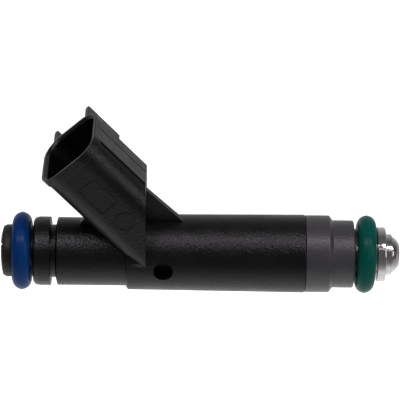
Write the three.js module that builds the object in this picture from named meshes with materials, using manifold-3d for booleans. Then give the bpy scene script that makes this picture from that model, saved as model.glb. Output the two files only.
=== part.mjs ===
// A long-body port fuel injector, in millimetres.
//
// It lies along X. Fuel enters at the -X end, inside the upper O-ring, and sprays out of the +X end,
// past the lower O-ring. The electrical socket slants up towards +Z and back towards the inlet.
// The origin is on the axis, at the middle of the lower O-ring, where the injector seals in its port.
//
// Every turned piece is drawn as half a section, a list of [x, radius] points, and revolved about X.

import * as THREE from 'three';
import { mergeVertices } from 'three/addons/utils/BufferGeometryUtils.js';
import Module from 'manifold-3d';

const wasm = await Module();
wasm.setup();

// ---- Driving dimensions -------------------------------------------------------------------------

// Clearances between pieces that meet.
const FIT_GAP = 0.05; // pressed, moulded or stacked pieces
const SLIDE_GAP = 0.06; // round the armature and the ball, on the radius
const SEAT_GAP = 0.03; // between the ball and its cone
const CAST_GAP = 0.3; // plastic round the bent terminals

// Both O-rings are one size.
const RING_BORE = 7.52;
const RING_SECTION = 3.53;
const RING_SEAT_GAP = 0.06;

// Lengths along the axis, from the nozzle tip back to the inlet.
const TIP_LENGTH = 1.42;
const STEP_LENGTH = 1.15;
const FLANGE_LENGTH = 1.65;
const FLANGE_TO_RING = 0.31;
const RING_TO_SLEEVE = 0.51;
const NECK_LENGTH = 3.94;
const SLEEVE_LENGTH = 5.2;
const SLEEVE_TAPER = 0.7;
const SPIGOT_LENGTH = 4.0;
const MAIN_LENGTH = 33.2;
const SHOULDER_LENGTH = 0.4;
const UPPER_LENGTH = 13.2;
const GROOVE_WIDTH = 1.0;
const GROOVE_CHAMFER = 0.3;
const COLLAR_LENGTH = 3.2;
const COLLAR_TO_RING = 0.45;
const RING_TO_CAP = 0.05;
const CAP_LENGTH = 1.75;
const TUBE_PROUD = 0.25;

// Outside diameters.
const NECK_DIAMETER = 12.7;
const UPPER_DIAMETER = 12.8;
const GROOVE_DIAMETER = 9.95;
const COLLAR_DIAMETER = 12.95;

// What the diameter loses: under the cover's at the sleeve, along the main body, and at the tip.
const SLEEVE_INSET = 0.2;
const MAIN_TAPER = 0.5;
const TIP_INSET = 0.5;
const RETAINER_WALL = 0.35; // of the steel ring's collar, round the tip
const FLANGE_HEIGHT = 1.625; // of the steel ring's flange, from its bore
const CAP_WALL = 1.175;
const CAP_CORNER = 0.7;
// The low hubs that stand inside each O-ring's groove, short of its rubber.
const HUB_HEIGHT = 0.95; // over the hole for the tube
const HUB_GAP = 0.1;

// The socket: a box with rounded corners, whose own axis crosses the injector's axis.
const SOCKET_ANGLE = 47.6; // degrees between the two axes
const SHOULDER_TO_FOOT = 9.8; // from the main body's step to where they cross
const SOCKET_REACH = 30.5; // from there to the mouth
const SOCKET_DEPTH = 12.5;
const OPENING_ACROSS = 11.2; // in the plane of the two axes
const OPENING_WIDTH = 13.0; // along Y
const OPENING_CORNER = 2.8;
const LEAD_IN = 0.45;
const SOCKET_WALL = 0.9;
const SHELL_CORNER = 4.2;
const BLOCK_TO_SHOULDER = 3.45; // from the main body's step to the flat that ends the socket's block
const LIP_LENGTH = 1.7;
const LIP_HEIGHT = 0.2;
const STRIP_WIDTH = 6.9;
const STRIP_HEIGHT = 0.2;
const RIB_WIDTH = 1.0;
const RIB_HEIGHT = 3.35;
const RIB_LENGTH = 8.5;
const RIB_OFFSETS = [-4.0, 3.95]; // of each keying rib from the socket's middle
const LATCH_LENGTH = 3.2;
const LATCH_WIDTH = 4.2;
const LATCH_HEIGHT = 1.5;
const GUSSET_THICKNESS = 1.5;
const GUSSET_LENGTH = 7.2;
const GUSSET_HEIGHT = 6.5;

// The blade terminals.
const BLADE_WIDTH = 2.8;
const BLADE_THICKNESS = 0.8;
const BLADE_PITCH = 5.0;
const BLADE_LENGTH = 7.5; // that stands in the socket
const TAIL_WIDTH = 1.0;
const TAIL_PITCH = 4.0;

// The core-pin holes in the cover's two sides.
const PIN_HOLE_DIAMETER = 3.65;
const PIN_HOLE_TO_SHOULDER = 6.7;
const PIN_HOLE_FLOOR = 0.5; // of plastic left over the tube

// The fuel tube, its filter and the spring inside it.
const TUBE_WALL = 0.9;
const POLE_BORE = 3.2;
const FILTER_RING_LENGTH = 1.6;
const FILTER_LENGTH = 13.0;
const FILTER_RING_WALL = 1.0;
const FILTER_WALL = 0.35;
const ADJUSTER_LENGTH = 9.0;
const ADJUSTER_WALL = 0.55;
const SPRING_LENGTH = 7.4;
const SPRING_WIRE = 0.5;
const SPRING_TURNS = 7;

// The magnet: a coil on its bobbin inside a steel can.
const COVER_WALL = 0.8;
const CAN_WALL = 0.8;
const CAN_BASE = 2.0;
const WASHER_THICKNESS = 1.3;
const BOBBIN_LENGTH = 12.0;
const BOBBIN_WALL = 0.65;
const BOBBIN_FLANGE = 0.9;
const WINDING_DEPTH = 0.85;
const WINDING_INSET = 0.35; // under the bobbin's flanges

// The valve.
const LIFT = 0.25;
const STOP_GAP = 0.05; // still open at full lift
const POLE_NOSE = 2.5;
const BARRIER_LENGTH = 4.9;
const BARRIER_WALL = 1.05;
const ARMATURE_LENGTH = 6.0;
const SPRING_SEAT_DEPTH = 1.3;
const NEEDLE_DIAMETER = 2.0;
const NEEDLE_IN_ARMATURE = 3.6;
const NEEDLE_BORE = 1.0;
const BALL_DIAMETER = 3.0;
const BODY_BORE = 4.6; // along the needle
const END_LIP = 0.9;
const END_OPENING = 3.0;
const TIP_CONE_LENGTH = 1.3;
const TIP_CONE_DEPTH = 1.3;
const RETAINER_THICKNESS = 0.5;
const ORIFICE_THICKNESS = 0.2;
const ORIFICE_HOLE = 0.4;
const ORIFICE_CIRCLE = 1.3;
const ORIFICE_COUNT = 4;
const SEAT_THICKNESS = 2.2;
const SEAT_BORE = 1.2;
const SEAT_THROAT = 0.6;
const SEAT_RIM = 0.4; // round the ball, where the cone starts
const GUIDE_THICKNESS = 0.9;
const GUIDE_WALL = 1.04;
const GUIDE_PORT = 0.7;
const GUIDE_PORT_COUNT = 4;

// Facets.
const LARGE_FACETS = 32;
const SMALL_FACETS = 20;
const HOLE_FACETS = 8;
const CORNER_FACETS = 8;
const ROUND_STEPS = 3;
const RING_FACETS = 12;

// How far a cutter runs past what it cuts, and a joined piece into what it joins.
const PAST = 1;

// ---- Stations along X, worked out from the origin ------------------------------------------------

const ringHalf = RING_SECTION / 2;
const xFlange = ringHalf + FLANGE_TO_RING;
const xFlangeEnd = xFlange + FLANGE_LENGTH;
const xStepEnd = xFlangeEnd + STEP_LENGTH;
const xTip = xStepEnd + TIP_LENGTH;
const xNeckEnd = -ringHalf - RING_TO_SLEEVE;
const xTaperEnd = xNeckEnd - NECK_LENGTH;
const xCoverEnd = xTaperEnd - SLEEVE_LENGTH;
const xSpigot = xCoverEnd - SPIGOT_LENGTH;
const xShoulder = xCoverEnd - MAIN_LENGTH;
const xGrooveEnd = xShoulder - UPPER_LENGTH;
const xGroove = xGrooveEnd - GROOVE_CHAMFER - GROOVE_WIDTH;
const xCollar = xGroove - COLLAR_LENGTH;
const xBlockEnd = xShoulder + BLOCK_TO_SHOULDER;
const xFoot = xShoulder + SHOULDER_TO_FOOT;
const xUpperRing = xCollar - COLLAR_TO_RING - ringHalf;
const xCapEnd = xUpperRing - ringHalf - RING_TO_CAP;
const xCap = xCapEnd - CAP_LENGTH;
const xInlet = xCap - TUBE_PROUD;

// The magnet stands against the sleeve's spigot, and the working gap is at the middle of its coil.
const xCanEnd = xSpigot - FIT_GAP;
const xCanFloor = xCanEnd - CAN_BASE;
const xBobbinEnd = xCanFloor - FIT_GAP;
const xBobbin = xBobbinEnd - BOBBIN_LENGTH;
const xWasher = xBobbin - FIT_GAP - WASHER_THICKNESS;
const xPole = (xBobbin + xBobbinEnd) / 2 + POLE_NOSE / 2;
const xBarrier = xPole - POLE_NOSE + FIT_GAP;
const xBarrierEnd = xBarrier + BARRIER_LENGTH;
const xArmature = xPole + LIFT + STOP_GAP;
const xArmatureEnd = xArmature + ARMATURE_LENGTH;

// The valve's discs are stacked inwards from the lip at the tip.
const xLip = xTip - END_LIP;
const xRetainer = xLip - FIT_GAP - RETAINER_THICKNESS;
const xOrifice = xRetainer - FIT_GAP - ORIFICE_THICKNESS;
const xSeatEnd = xOrifice - FIT_GAP;
const xSeat = xSeatEnd - SEAT_THICKNESS;
const xGuide = xSeat - FIT_GAP - GUIDE_THICKNESS;
const xPocket = xGuide - FIT_GAP;

// ---- Radii --------------------------------------------------------------------------------------

const tubeRadius = RING_BORE / 2 - RING_SEAT_GAP;
const tubeHole = tubeRadius + FIT_GAP;
const hubRadius = tubeHole + HUB_HEIGHT;
const inletBore = tubeRadius - TUBE_WALL;
const barrierBore = tubeRadius - BARRIER_WALL;
const armatureRadius = barrierBore - SLIDE_GAP;
const springRadius = POLE_BORE / 2 - SLIDE_GAP;

// The magnet is stacked outwards from the tube, and the cover's wall goes round it.
const bobbinCore = tubeHole + BOBBIN_WALL;
const windingRadius = bobbinCore + FIT_GAP + WINDING_DEPTH;
const bobbinRadius = windingRadius + WINDING_INSET;
const canBore = bobbinRadius + FIT_GAP;
const canRadius = canBore + CAN_WALL;
const canHole = canRadius + FIT_GAP;
const mainRadius = canHole + COVER_WALL;
const sleeveRadius = mainRadius - SLEEVE_INSET / 2;
const tipRadius = tubeRadius - TIP_INSET / 2;

const ballRadius = BALL_DIAMETER / 2;
const guideHole = ballRadius + SLIDE_GAP;
const discRadius = guideHole + GUIDE_WALL;
const pocketRadius = discRadius + FIT_GAP;

// ---- Materials ----------------------------------------------------------------------------------

const material = (color, roughness, metalness) =>
  new THREE.MeshStandardMaterial({ color, roughness, metalness });

const blackNylon = material('#1b1c1c', 0.5, 0);
const capNylon = material('#221f1c', 0.6, 0);
const greyNylon = material('#3d3c40', 0.55, 0);
const blueRubber = material('#123a6e', 0.35, 0);
const greenRubber = material('#0c4f40', 0.35, 0);
const stainless = material('#b9b6b4', 0.3, 1);
const magnetSteel = material('#8d8f92', 0.4, 1);
const springSteel = material('#9a9b9d', 0.35, 1);
const brass = material('#b08d4a', 0.35, 1);
const tinnedBrass = material('#a9a8a2', 0.35, 1);
const copper = material('#a9562c', 0.4, 1);
const whiteNylon = material('#d8d3c4', 0.6, 0);

// ---- Geometry helpers ---------------------------------------------------------------------------

// Revolves half a section about X. The section is closed on itself, or starts and ends on the axis,
// and it may be listed either way round.
function revolve(section, facets = LARGE_FACETS) {
  const points = section.map(([x, radius]) => new THREE.Vector2(radius, x));
  const onAxis = points[0].x === 0 && points.at(-1).x === 0;
  if (THREE.ShapeUtils.area(points) < 0) points.reverse();
  if (!onAxis) points.push(points[0].clone());
  return new THREE.LatheGeometry(points, facets).rotateZ(-Math.PI / 2);
}

// A tube's section: a plain ring from x0 to x1 between two radii.
const ring = (x0, x1, inner, outer) => [
  [x0, inner],
  [x0, outer],
  [x1, outer],
  [x1, inner],
];

// Points on a round stretch of a section about (x, radius), angles in degrees from +X towards outside.
function round(x, radius, size, from, to, steps = ROUND_STEPS) {
  return Array.from({ length: steps + 1 }, (_, i) => {
    const angle = THREE.MathUtils.degToRad(from + ((to - from) * i) / steps);
    return [x + size * Math.cos(angle), radius + size * Math.sin(angle)];
  });
}

// A closed three.js geometry as a solid that can be joined and cut.
function solid(geometry) {
  const bare = geometry.clone();
  bare.deleteAttribute('normal');
  bare.deleteAttribute('uv');
  const merged = mergeVertices(bare, 1e-4);
  return new wasm.Manifold(
    new wasm.Mesh({
      numProp: 3,
      vertProperties: merged.attributes.position.array,
      triVerts: new Uint32Array(merged.index.array),
    }),
  );
}

// A joined or cut solid as a three.js geometry again.
function geometryOf(body) {
  const { vertProperties, triVerts } = body.getMesh();
  const geometry = new THREE.BufferGeometry();
  geometry.setAttribute('position', new THREE.BufferAttribute(vertProperties, 3));
  geometry.setIndex(new THREE.BufferAttribute(triVerts, 1));
  geometry.computeVertexNormals();
  return geometry;
}

const join = (first, ...others) => others.reduce((whole, part) => whole.add(part), first);
const cut = (first, ...others) => others.reduce((whole, part) => whole.subtract(part), first);

// A box between two corners.
function block([x0, y0, z0], [x1, y1, z1]) {
  return new THREE.BoxGeometry(x1 - x0, y1 - y0, z1 - z0).translate(
    (x0 + x1) / 2,
    (y0 + y1) / 2,
    (z0 + z1) / 2,
  );
}

// Round bars along Y and along X.
const barY = (x, z, radius, length) =>
  new THREE.CylinderGeometry(radius, radius, length, SMALL_FACETS).translate(x, 0, z);
const barX = (x0, x1, radius, y, z) =>
  new THREE.CylinderGeometry(radius, radius, x1 - x0, HOLE_FACETS)
    .rotateZ(-Math.PI / 2)
    .translate((x0 + x1) / 2, y, z);

// Bars along X, evenly spaced on a circle about the axis.
const barCircle = (count, circle, x0, x1, radius) =>
  Array.from({ length: count }, (_, i) => {
    const angle = (2 * Math.PI * (i + 0.5)) / count;
    return solid(barX(x0, x1, radius, circle * Math.cos(angle), circle * Math.sin(angle)));
  });

// A flat outline in the XZ plane, as thick along Y as asked and centred on y.
function plateXZ(outline, thickness, y = 0) {
  const shape = new THREE.Shape(outline.map(([x, z]) => new THREE.Vector2(x, z)));
  return new THREE.ExtrudeGeometry(shape, { depth: thickness, bevelEnabled: false })
    .rotateX(Math.PI / 2)
    .translate(0, y + thickness / 2, 0);
}

// ---- The socket's own frame ---------------------------------------------------------------------
// Its X runs across the socket away from the inlet, its Y is the part's Y, and its Z runs out of the
// mouth. Its origin is where the socket's axis crosses the injector's.

const socketTurn = THREE.MathUtils.degToRad(SOCKET_ANGLE);
const socketOut = new THREE.Vector3(-Math.cos(socketTurn), 0, Math.sin(socketTurn));
const socketAcross = new THREE.Vector3(Math.sin(socketTurn), 0, Math.cos(socketTurn));
const socketFrame = new THREE.Matrix4()
  .makeBasis(socketAcross, new THREE.Vector3(0, 1, 0), socketOut)
  .setPosition(xFoot, 0, 0);
const inSocket = (geometry) => geometry.applyMatrix4(socketFrame);

// A rectangle with rounded corners, centred on the socket's axis.
function roundedRectangle(across, width, corner) {
  const a = across / 2;
  const w = width / 2;
  const shape = new THREE.Shape();
  shape.moveTo(-a + corner, -w);
  shape.lineTo(a - corner, -w);
  shape.absarc(a - corner, -w + corner, corner, -Math.PI / 2, 0);
  shape.lineTo(a, w - corner);
  shape.absarc(a - corner, w - corner, corner, 0, Math.PI / 2);
  shape.lineTo(-a + corner, w);
  shape.absarc(-a + corner, w - corner, corner, Math.PI / 2, Math.PI);
  shape.lineTo(-a, -w + corner);
  shape.absarc(-a + corner, -w + corner, corner, Math.PI, 1.5 * Math.PI);
  return shape;
}

const prism = (shape, z0, z1) =>
  new THREE.ExtrudeGeometry(shape, {
    depth: z1 - z0,
    bevelEnabled: false,
    curveSegments: CORNER_FACETS,
  }).translate(0, 0, z0);

const shellAcross = OPENING_ACROSS + 2 * SOCKET_WALL;
const shellWidth = OPENING_WIDTH + 2 * SOCKET_WALL;
const socketFloor = SOCKET_REACH - SOCKET_DEPTH;

// ---- Outside pieces ------------------------------------------------------------------------------

// The cover's turned body, from the collar to the sleeve, before anything is added or cut.
function coverBody() {
  const collar = COLLAR_DIAMETER / 2;
  const groove = GROOVE_DIAMETER / 2;
  const upper = UPPER_DIAMETER / 2;
  const collarRound = 0.7;
  const endBevel = 0.15;
  return revolve([
    [xCollar - COLLAR_TO_RING + HUB_GAP, 0],
    [xCollar - COLLAR_TO_RING + HUB_GAP, hubRadius],
    [xCollar, hubRadius],
    [xCollar, collar - 2 * collarRound],
    ...round(xCollar + collarRound, collar - collarRound, collarRound, 150, 90),
    [xGroove, collar],
    [xGroove, groove],
    [xGroove + GROOVE_WIDTH, groove],
    [xGroove + GROOVE_WIDTH, upper - 4 * GROOVE_CHAMFER],
    [xGrooveEnd, upper],
    [xShoulder - SHOULDER_LENGTH, upper],
    [xShoulder, mainRadius - MAIN_TAPER / 2],
    [xCoverEnd - endBevel, mainRadius],
    [xCoverEnd, mainRadius - endBevel],
    [xCoverEnd, 0],
  ]);
}

// The socket's block: its shell, the lip round the mouth, the strip along its top and the keying
// ribs and latch on its far side, all ended by a flat across the injector's axis.
function socketBlock() {
  const foot = -SOCKET_REACH / 2;
  const top = SOCKET_REACH;
  const shell = solid(
    inSocket(prism(roundedRectangle(shellAcross, shellWidth, SHELL_CORNER), foot, top)),
  );
  const lipOver = 2 * LIP_HEIGHT;
  const lip = solid(
    inSocket(
      prism(
        roundedRectangle(shellAcross + lipOver, shellWidth + lipOver, SHELL_CORNER + LIP_HEIGHT),
        top - LIP_LENGTH,
        top,
      ),
    ),
  );
  const stripTop = shellAcross / 2 + STRIP_HEIGHT;
  const strip = solid(
    inSocket(
      block([0, -STRIP_WIDTH / 2, foot], [stripTop, STRIP_WIDTH / 2, top - LIP_LENGTH / 2]),
    ),
  );
  const far = 3 * SOCKET_REACH;
  const beyond = solid(block([xBlockEnd, -far, -far], [xBlockEnd + far, far, far]));
  const below = solid(block([xBlockEnd - far, -far, -far], [xBlockEnd + PAST, far, 0]));
  return cut(join(shell, lip, strip, ...farRibs(), latchRamp()), beyond, below);
}

// The bevel round the inside of the mouth: a prism that widens as it leaves the socket.
function flaredMouth() {
  const bottom = SOCKET_REACH - LEAD_IN;
  const flare = prism(
    roundedRectangle(OPENING_ACROSS, OPENING_WIDTH, OPENING_CORNER),
    bottom,
    SOCKET_REACH + LEAD_IN,
  );
  const position = flare.attributes.position;
  for (let i = 0; i < position.count; i++) {
    const grow = position.getZ(i) - bottom;
    position.setX(i, position.getX(i) * (1 + (2 * grow) / OPENING_ACROSS));
    position.setY(i, position.getY(i) * (1 + (2 * grow) / OPENING_WIDTH));
  }
  return flare;
}

// The two keying ribs, with rounded crests.
function farRibs() {
  const half = RIB_WIDTH / 2;
  const face = shellWidth / 2;
  return RIB_OFFSETS.map((offset) => {
    const section = new THREE.Shape();
    section.moveTo(offset - half, face - SOCKET_WALL / 2);
    section.lineTo(offset + half, face - SOCKET_WALL / 2);
    section.lineTo(offset + half, face + RIB_HEIGHT - half);
    section.absarc(offset, face + RIB_HEIGHT - half, half, 0, Math.PI);
    return solid(inSocket(prism(section, SOCKET_REACH - RIB_LENGTH, SOCKET_REACH)));
  });
}

// The ramp between the ribs that the plug's latch climbs and drops behind.
function latchRamp() {
  const middle = (RIB_OFFSETS[0] + RIB_OFFSETS[1]) / 2;
  const face = shellWidth / 2;
  const ramp = new THREE.Shape([
    new THREE.Vector2(SOCKET_REACH - LIP_LENGTH, face - SOCKET_WALL / 2),
    new THREE.Vector2(SOCKET_REACH - LIP_LENGTH, face + LIP_HEIGHT),
    new THREE.Vector2(SOCKET_REACH - LIP_LENGTH - LATCH_LENGTH, face + LATCH_HEIGHT),
    new THREE.Vector2(SOCKET_REACH - LIP_LENGTH - LATCH_LENGTH, face - SOCKET_WALL / 2),
  ]);
  // The ramp is drawn in the socket's Z and Y, then turned so that its thickness runs across.
  const plate = new THREE.ExtrudeGeometry(ramp, { depth: LATCH_WIDTH, bevelEnabled: false })
    .applyMatrix4(
      new THREE.Matrix4().makeBasis(
        new THREE.Vector3(0, 0, 1),
        new THREE.Vector3(0, 1, 0),
        new THREE.Vector3(-1, 0, 0),
      ),
    )
    .translate(middle + LATCH_WIDTH / 2, 0, 0);
  return solid(inSocket(plate));
}

// The thin web that props the block's flat against the main body.
function gusset() {
  const low = mainRadius - MAIN_TAPER;
  return solid(
    plateXZ(
      [
        [xBlockEnd - PAST, tubeHole],
        [xBlockEnd + GUSSET_LENGTH, tubeHole],
        [xBlockEnd + GUSSET_LENGTH, low],
        [xBlockEnd, mainRadius + GUSSET_HEIGHT],
        [xBlockEnd - PAST, mainRadius + GUSSET_HEIGHT],
      ],
      GUSSET_THICKNESS,
    ),
  );
}

function cover() {
  const bores = solid(
    revolve([
      [xCollar - PAST, 0],
      [xCollar - PAST, tubeHole],
      [xWasher - FIT_GAP, tubeHole],
      [xWasher - FIT_GAP, canHole],
      [xCoverEnd + PAST, canHole],
      [xCoverEnd + PAST, 0],
    ]),
  );
  const opening = solid(
    inSocket(
      prism(
        roundedRectangle(OPENING_ACROSS, OPENING_WIDTH, OPENING_CORNER),
        socketFloor,
        SOCKET_REACH + PAST,
      ),
    ),
  );
  const leadIn = solid(inSocket(flaredMouth()));
  const pinHoles = cut(
    solid(barY(xShoulder + PIN_HOLE_TO_SHOULDER, 0, PIN_HOLE_DIAMETER / 2, 2 * (mainRadius + PAST))),
    solid(
      revolve([
        [xShoulder, 0],
        [xShoulder, tubeHole + PIN_HOLE_FLOOR],
        [xFoot, tubeHole + PIN_HOLE_FLOOR],
        [xFoot, 0],
      ]),
    ),
  );
  return geometryOf(
    cut(
      join(solid(coverBody()), socketBlock(), gusset()),
      bores,
      opening,
      leadIn,
      pinHoles,
      terminalSolid(-1, CAST_GAP),
      terminalSolid(1, CAST_GAP),
    ),
  );
}

function nozzleSleeve() {
  const neck = NECK_DIAMETER / 2;
  const spigot = canHole - FIT_GAP;
  const endBevel = 0.3;
  const edge = 0.1;
  return revolve([
    [xSpigot, tubeHole],
    [xSpigot, spigot],
    [xCoverEnd + FIT_GAP, spigot],
    [xCoverEnd + FIT_GAP, sleeveRadius - edge],
    [xCoverEnd + FIT_GAP + edge, sleeveRadius],
    [xTaperEnd - SLEEVE_TAPER, sleeveRadius],
    [xTaperEnd, neck],
    [xNeckEnd - endBevel, neck],
    [xNeckEnd, neck - endBevel],
    [xNeckEnd, hubRadius],
    [-ringHalf - HUB_GAP, hubRadius],
    [-ringHalf - HUB_GAP, tubeHole],
  ]);
}

function inletCap() {
  const outside = tubeHole + CAP_WALL;
  return revolve([
    [xCap, tubeHole],
    [xCap, outside - CAP_CORNER],
    ...round(xCap + CAP_CORNER, outside - CAP_CORNER, CAP_CORNER, 150, 90),
    [xCapEnd, outside],
    [xCapEnd, tubeHole],
  ]);
}

// An O-ring about the axis at x.
const oRing = (x) =>
  revolve(
    round(x, RING_BORE / 2 + ringHalf, ringHalf, 0, 360, RING_FACETS).slice(0, RING_FACETS),
  );

// The steel ring that keeps the lower O-ring on: a flange with a short collar behind it.
function ringRetainer() {
  const bevel = 0.35;
  const bore = tipRadius + FIT_GAP;
  const flange = bore + FLANGE_HEIGHT;
  const collar = bore + RETAINER_WALL;
  return revolve([
    [xFlange, bore],
    [xFlange, flange],
    [xFlangeEnd - bevel, flange],
    [xFlangeEnd, flange - bevel],
    [xFlangeEnd, collar],
    [xStepEnd, collar],
    [xStepEnd, bore],
  ]);
}

// ---- Fuel tube, filter and spring -----------------------------------------------------------------

function inletTube() {
  const pole = POLE_BORE / 2;
  const lip = 0.2;
  const xFilterStop = xInlet + FILTER_LENGTH + FIT_GAP;
  return revolve([
    [xInlet, inletBore + lip],
    [xInlet, tubeRadius - lip],
    [xInlet + lip, tubeRadius],
    [xPole - POLE_NOSE, tubeRadius],
    [xPole - POLE_NOSE, barrierBore - FIT_GAP],
    [xPole, barrierBore - FIT_GAP],
    [xPole, pole],
    [xFilterStop, pole],
    [xFilterStop, inletBore],
    [xInlet + lip, inletBore],
  ]);
}

const filterRing = () =>
  revolve(
    ring(
      xInlet + FIT_GAP,
      xInlet + FILTER_RING_LENGTH,
      inletBore - FIT_GAP - FILTER_RING_WALL,
      inletBore - FIT_GAP,
    ),
    SMALL_FACETS,
  );

// The filter's sleeve is a cup that closes at its lower end.
function filterScreen() {
  const outside = inletBore - FILTER_WALL;
  const x0 = xInlet + FILTER_RING_LENGTH + FIT_GAP;
  const x1 = xInlet + FILTER_LENGTH;
  return revolve(
    [
      [x0, outside - FILTER_WALL],
      [x0, outside],
      [x1, outside],
      [x1, 0],
      [x1 - FILTER_WALL, 0],
      [x1 - FILTER_WALL, outside - FILTER_WALL],
    ],
    SMALL_FACETS,
  );
}

const xSpring = xArmature + SPRING_SEAT_DEPTH - FIT_GAP - SPRING_LENGTH;

function adjustingTube() {
  const outside = POLE_BORE / 2 - FIT_GAP;
  const x1 = xSpring - FIT_GAP;
  return revolve(ring(x1 - ADJUSTER_LENGTH, x1, outside - ADJUSTER_WALL, outside), SMALL_FACETS);
}

// The line that the return spring's round wire follows, a helix about the axis.
class Helix extends THREE.Curve {
  constructor(x0, x1, radius, turns) {
    super();
    Object.assign(this, { x0, x1, radius, turns });
  }

  getPoint(t, target = new THREE.Vector3()) {
    const angle = 2 * Math.PI * this.turns * t;
    const x = this.x0 + (this.x1 - this.x0) * t;
    return target.set(x, this.radius * Math.sin(angle), this.radius * Math.cos(angle));
  }
}

function returnSpring() {
  const wire = SPRING_WIRE / 2;
  const section = new THREE.Shape().absarc(0, 0, wire, 0, 2 * Math.PI);
  const route = new Helix(
    xSpring + wire,
    xSpring + SPRING_LENGTH - wire,
    springRadius - wire,
    SPRING_TURNS,
  );
  return new THREE.ExtrudeGeometry(section, {
    extrudePath: route,
    steps: 10 * SPRING_TURNS,
    curveSegments: 3,
    bevelEnabled: false,
  });
}

// ---- Magnet -------------------------------------------------------------------------------------

// The washer that closes the can's top, open on the socket's side to let the terminals' tails in.
function fluxWasher() {
  const half = (TAIL_PITCH + TAIL_WIDTH) / 2 + CAST_GAP;
  return geometryOf(
    cut(
      solid(revolve(ring(xWasher, xWasher + WASHER_THICKNESS, tubeHole, canBore - FIT_GAP))),
      solid(block([xWasher - PAST, -half, 0], [xBobbin + PAST, half, canRadius])),
    ),
  );
}

const coilBobbin = () =>
  revolve([
    [xBobbin, tubeHole],
    [xBobbin, bobbinRadius],
    [xBobbin + BOBBIN_FLANGE, bobbinRadius],
    [xBobbin + BOBBIN_FLANGE, bobbinCore],
    [xBobbinEnd - BOBBIN_FLANGE, bobbinCore],
    [xBobbinEnd - BOBBIN_FLANGE, bobbinRadius],
    [xBobbinEnd, bobbinRadius],
    [xBobbinEnd, tubeHole],
  ]);

const coilWinding = () =>
  revolve(
    ring(
      xBobbin + BOBBIN_FLANGE + FIT_GAP,
      xBobbinEnd - BOBBIN_FLANGE - FIT_GAP,
      bobbinCore + FIT_GAP,
      windingRadius,
    ),
  );

const coilHousing = () =>
  revolve([
    [xWasher, canBore],
    [xWasher, canRadius],
    [xCanEnd, canRadius],
    [xCanEnd, tubeHole],
    [xCanFloor, tubeHole],
    [xCanFloor, canBore],
  ]);

// ---- Terminals ----------------------------------------------------------------------------------
// A blade stands in the socket. Under the socket's floor it turns straight down beside the block's
// flat, and its narrow tail runs along the tube to the bobbin.

const bladeHalf = BLADE_THICKNESS / 2;
const tailHeight = tubeHole + CAST_GAP + bladeHalf;
const xDrop = xBlockEnd - COVER_WALL - CAST_GAP - bladeHalf;

// The outline of a strip of even thickness along a bent route, with mitred bends.
function stripOutline(route, half) {
  const points = route.map(([x, z]) => new THREE.Vector2(x, z));
  const square = (from, to) => {
    const along = to.clone().sub(from).normalize();
    return new THREE.Vector2(-along.y, along.x);
  };
  const corners = points.map((point, i) => {
    const into = i > 0 ? square(points[i - 1], point) : square(point, points[1]);
    const outOf = i < points.length - 1 ? square(point, points[i + 1]) : into;
    const mitre = into.clone().add(outOf).normalize();
    return { point, mitre: mitre.multiplyScalar(half / mitre.dot(into)) };
  });
  const left = corners.map(({ point, mitre }) => point.clone().add(mitre));
  const right = corners.map(({ point, mitre }) => point.clone().sub(mitre)).reverse();
  return [...right, ...left].map(({ x, y }) => [x, y]);
}

// side is -1 for the terminal at -Y and 1 for the one at +Y. grow widens it on every side, for the
// slot that the plastic keeps round it.
function terminalSolid(side, grow = 0) {
  const onAxis = (along) => [
    xFoot + along * socketOut.x,
    along * socketOut.z,
  ];
  const drop = (xDrop - xFoot) / socketOut.x;
  const tip = socketFloor + BLADE_LENGTH + grow;
  const half = bladeHalf + grow;
  const blade = plateXZ(
    stripOutline([onAxis(drop + BLADE_WIDTH - grow), onAxis(tip)], half),
    BLADE_WIDTH + 2 * grow,
    (side * BLADE_PITCH) / 2,
  );
  const tail = plateXZ(
    stripOutline(
      [
        onAxis(drop + BLADE_WIDTH + bladeHalf),
        onAxis(drop),
        [xDrop, tailHeight],
        [xBobbin - FIT_GAP + grow, tailHeight],
      ],
      half,
    ),
    TAIL_WIDTH + 2 * grow,
    (side * TAIL_PITCH) / 2,
  );
  return join(solid(blade), solid(tail));
}

// ---- Valve --------------------------------------------------------------------------------------

// The sleeve that bridges the working gap between the fuel tube and the valve body.
const barrierSleeve = () => revolve(ring(xBarrier, xBarrierEnd, barrierBore, tubeRadius));

function valveBody() {
  const guideBore = barrierBore;
  const xBoreStep = xArmatureEnd + 2 * LIFT;
  return revolve([
    [xBarrierEnd + FIT_GAP, guideBore],
    [xBarrierEnd + FIT_GAP, tubeRadius],
    [xFlange - FIT_GAP, tubeRadius],
    [xFlange - FIT_GAP, tipRadius],
    [xTip - TIP_CONE_LENGTH, tipRadius],
    [xTip, tipRadius - TIP_CONE_DEPTH],
    [xTip, END_OPENING / 2],
    [xLip, END_OPENING / 2],
    [xLip, pocketRadius],
    [xPocket, pocketRadius],
    [xPocket, BODY_BORE / 2],
    [xBoreStep, BODY_BORE / 2],
    [xBoreStep, guideBore],
  ]);
}

// The ball stands off its cone by SEAT_GAP, and nests in the mouth of the needle's bore.
const coneApex = xSeatEnd - SEAT_THROAT + SEAT_BORE / 2;
const coneRim = ballRadius + SEAT_RIM;
const xBall = coneApex - (ballRadius + SEAT_GAP) * Math.SQRT2;
const xNeedleEnd = xBall - Math.sqrt(ballRadius ** 2 - (NEEDLE_BORE / 2) ** 2) - FIT_GAP;

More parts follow.
